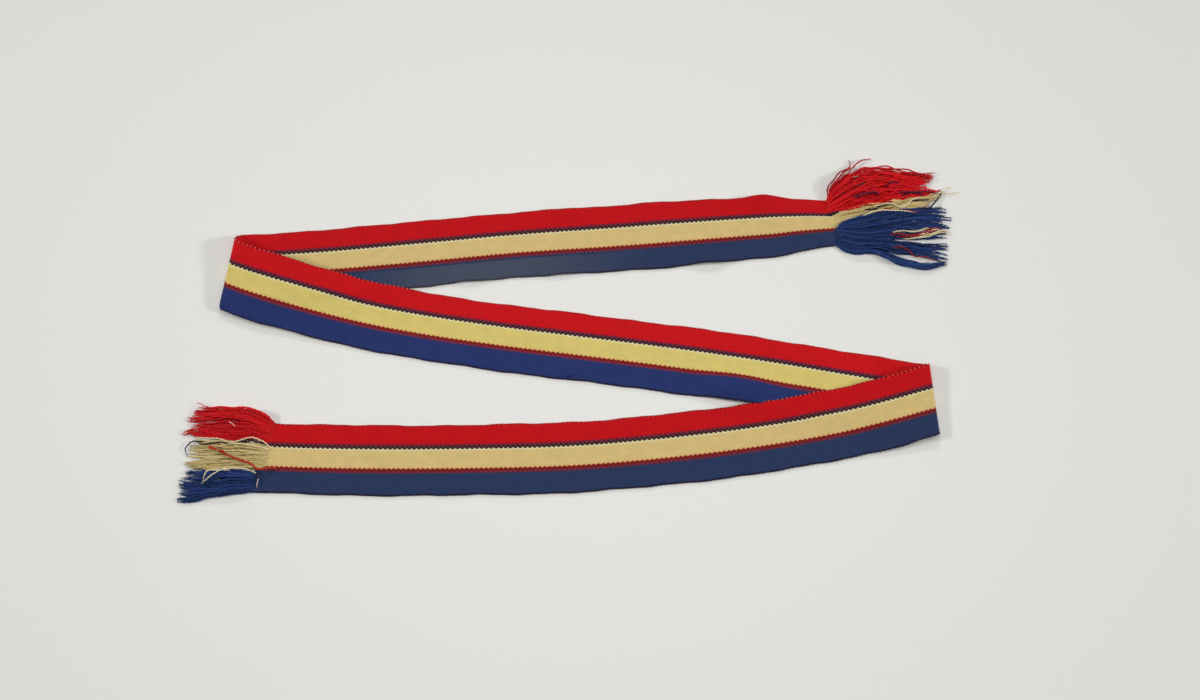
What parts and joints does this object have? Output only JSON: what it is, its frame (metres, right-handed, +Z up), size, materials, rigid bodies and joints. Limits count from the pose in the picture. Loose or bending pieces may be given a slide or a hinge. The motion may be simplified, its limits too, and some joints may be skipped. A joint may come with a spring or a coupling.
{
  "type": "mayoral sash",
  "caption": "Long woven wool band in red, cream and blue stripes with a cut fringe at each end, laid in three folded runs on a surface.",
  "frame": {"origin": "the middle of the lay's footprint, on the surface that it lies on", "axes": "+X along the lay towards the longer fringe, +Y to the back, +Z up"},
  "size_m": [0.7284, 0.3502, 0.0186],
  "materials": {
    "striped_weave": "matt warp-faced wool in red, navy, cream, dark red and blue stripes",
    "red_yarn": "matt two-ply wool, cut and loose",
    "cream_yarn": "matt two-ply wool, cut and loose",
    "blue_yarn": "matt two-ply wool, cut and loose"
  },
  "bodies": {
    "root": {"woven_band": "striped_weave", "right_fringe_red": "red_yarn", "right_fringe_cream": "cream_yarn", "right_fringe_blue": "blue_yarn", "left_fringe_red": "red_yarn", "left_fringe_cream": "cream_yarn", "left_fringe_blue": "blue_yarn"}
  },
  "joints": []
}
